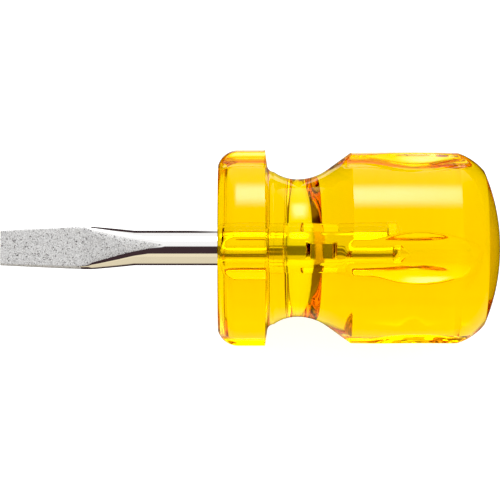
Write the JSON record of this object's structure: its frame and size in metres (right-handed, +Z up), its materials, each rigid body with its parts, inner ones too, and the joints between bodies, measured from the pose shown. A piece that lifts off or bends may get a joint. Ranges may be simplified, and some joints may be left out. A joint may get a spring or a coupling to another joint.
{
  "type": "stubby slotted screwdriver",
  "caption": "Short slotted screwdriver: a forged flat-blade steel shank set in a waisted, fluted handle of clear amber plastic, for driving slotted screws in tight spaces.",
  "frame": {"origin": "centre of the bounding box in X and Y, on the surface that the tool lies on", "axes": "the tool's axis lies along X with the blade's tip towards -X; +Z is up, with the handle standing on the two lips of a flute"},
  "size_m": [0.0864, 0.0338, 0.0335],
  "materials": {
    "blade_steel": "bright chrome plate on the shank, blasted satin on the flattened blade",
    "handle_plastic": "clear amber cellulose acetate, turned and vapour polished"
  },
  "bodies": {
    "root": {"blade": "blade_steel", "handle": "handle_plastic"}
  },
  "joints": []
}
